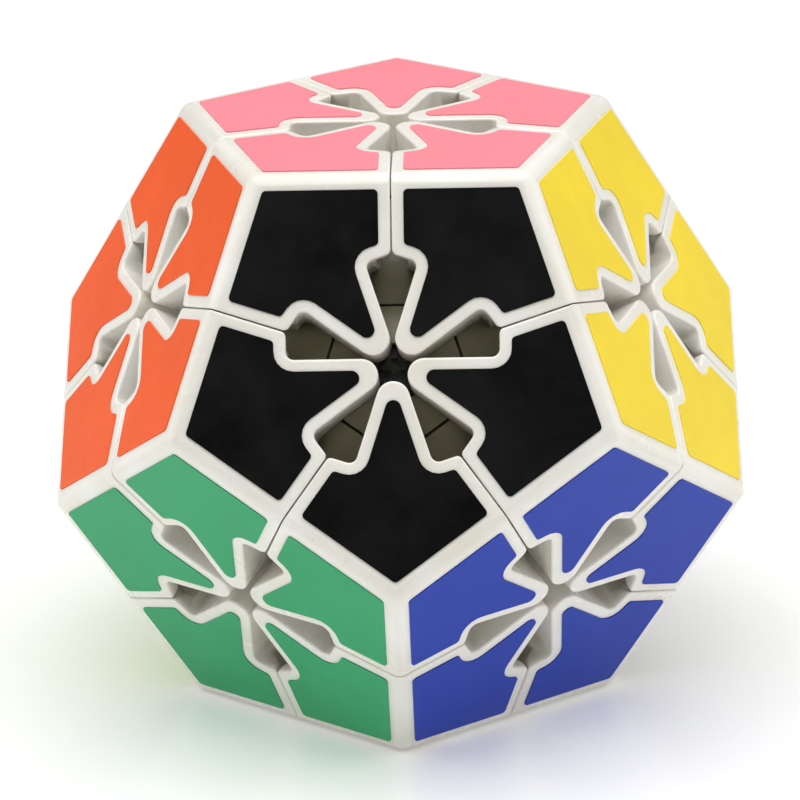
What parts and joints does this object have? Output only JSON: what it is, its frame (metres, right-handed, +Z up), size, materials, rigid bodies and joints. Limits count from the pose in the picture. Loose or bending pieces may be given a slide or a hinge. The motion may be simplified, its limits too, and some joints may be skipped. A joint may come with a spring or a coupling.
{
  "type": "dodecahedron twisty puzzle",
  "caption": "White moulded twelve-sided puzzle with coloured corner stickers and flower-shaped face openings, whose face layers turn on a sprung core.",
  "frame": {"origin": "centre of the core's ball, where all the face axes meet", "axes": "+Z up through the middle of the pink face, -Y towards the black face, which leans back from the viewer; -Z through the dark red face that it stands on"},
  "size_m": [0.0786, 0.0826, 0.0672],
  "materials": {
    "white_abs": "moulded, glossy",
    "inner_abs": "moulded, satin",
    "core_nylon": "moulded, matt",
    "screw_steel": "dark zinc plate",
    "washer_steel": "bright steel",
    "spring_steel": "drawn wire",
    "vinyl_pink": "smooth self-adhesive vinyl",
    "vinyl_black": "smooth self-adhesive vinyl",
    "vinyl_yellow": "smooth self-adhesive vinyl",
    "vinyl_purple": "smooth self-adhesive vinyl",
    "vinyl_sky": "smooth self-adhesive vinyl",
    "vinyl_orange": "smooth self-adhesive vinyl",
    "vinyl_blue": "smooth self-adhesive vinyl",
    "vinyl_grey": "smooth self-adhesive vinyl",
    "vinyl_cream": "smooth self-adhesive vinyl",
    "vinyl_lime": "smooth self-adhesive vinyl",
    "vinyl_green": "smooth self-adhesive vinyl",
    "vinyl_red": "smooth self-adhesive vinyl"
  },
  "bodies": {
    "core_frame": {"core": "core_nylon", "screws": "screw_steel", "washers": "washer_steel", "springs": "spring_steel", "centres_fixed": "inner_abs", "edges_fixed": "inner_abs", "corner_blue_black_yellow": "white_abs", "corner_black_blue_green": "white_abs", "corner_grey_yellow_purple": "white_abs", "corner_yellow_grey_blue": "white_abs", "corner_cream_purple_sky": "white_abs", "corner_purple_cream_grey": "white_abs", "corner_lime_sky_orange": "white_abs", "corner_sky_lime_cream": "white_abs", "corner_green_orange_black": "white_abs", "corner_orange_green_lime": "white_abs", "stickers_black_on_fixed": "vinyl_black", "stickers_yellow_on_fixed": "vinyl_yellow", "stickers_purple_on_fixed": "vinyl_purple", "stickers_sky_on_fixed": "vinyl_sky", "stickers_orange_on_fixed": "vinyl_orange", "stickers_blue_on_fixed": "vinyl_blue", "stickers_grey_on_fixed": "vinyl_grey", "stickers_cream_on_fixed": "vinyl_cream", "stickers_lime_on_fixed": "vinyl_lime", "stickers_green_on_fixed": "vinyl_green"},
    "pink_layer": {"centres_pink": "inner_abs", "edges_pink": "inner_abs", "corner_pink_yellow_black": "white_abs", "corner_pink_purple_yellow": "white_abs", "corner_pink_sky_purple": "white_abs", "corner_pink_orange_sky": "white_abs", "corner_pink_black_orange": "white_abs", "stickers_pink_on_pink": "vinyl_pink", "stickers_black_on_pink": "vinyl_black", "stickers_yellow_on_pink": "vinyl_yellow", "stickers_purple_on_pink": "vinyl_purple", "stickers_sky_on_pink": "vinyl_sky", "stickers_orange_on_pink": "vinyl_orange"},
    "red_layer": {"centres_red": "inner_abs", "edges_red": "inner_abs", "corner_red_green_blue": "white_abs", "corner_red_blue_grey": "white_abs", "corner_red_grey_cream": "white_abs", "corner_red_cream_lime": "white_abs", "corner_red_lime_green": "white_abs", "stickers_blue_on_red": "vinyl_blue", "stickers_grey_on_red": "vinyl_grey", "stickers_cream_on_red": "vinyl_cream", "stickers_lime_on_red": "vinyl_lime", "stickers_green_on_red": "vinyl_green", "stickers_red_on_red": "vinyl_red"}
  },
  "joints": [
    {"name": "red_turn", "type": "hinge", "parent": "red_layer", "child": "core_frame", "pos_m": [0, 0, 0], "axis": [0, 0, 1], "continuous": true},
    {"name": "pink_turn", "type": "hinge", "parent": "core_frame", "child": "pink_layer", "pos_m": [0, 0, 0], "axis": [0, 0, 1], "continuous": true}
  ]
}
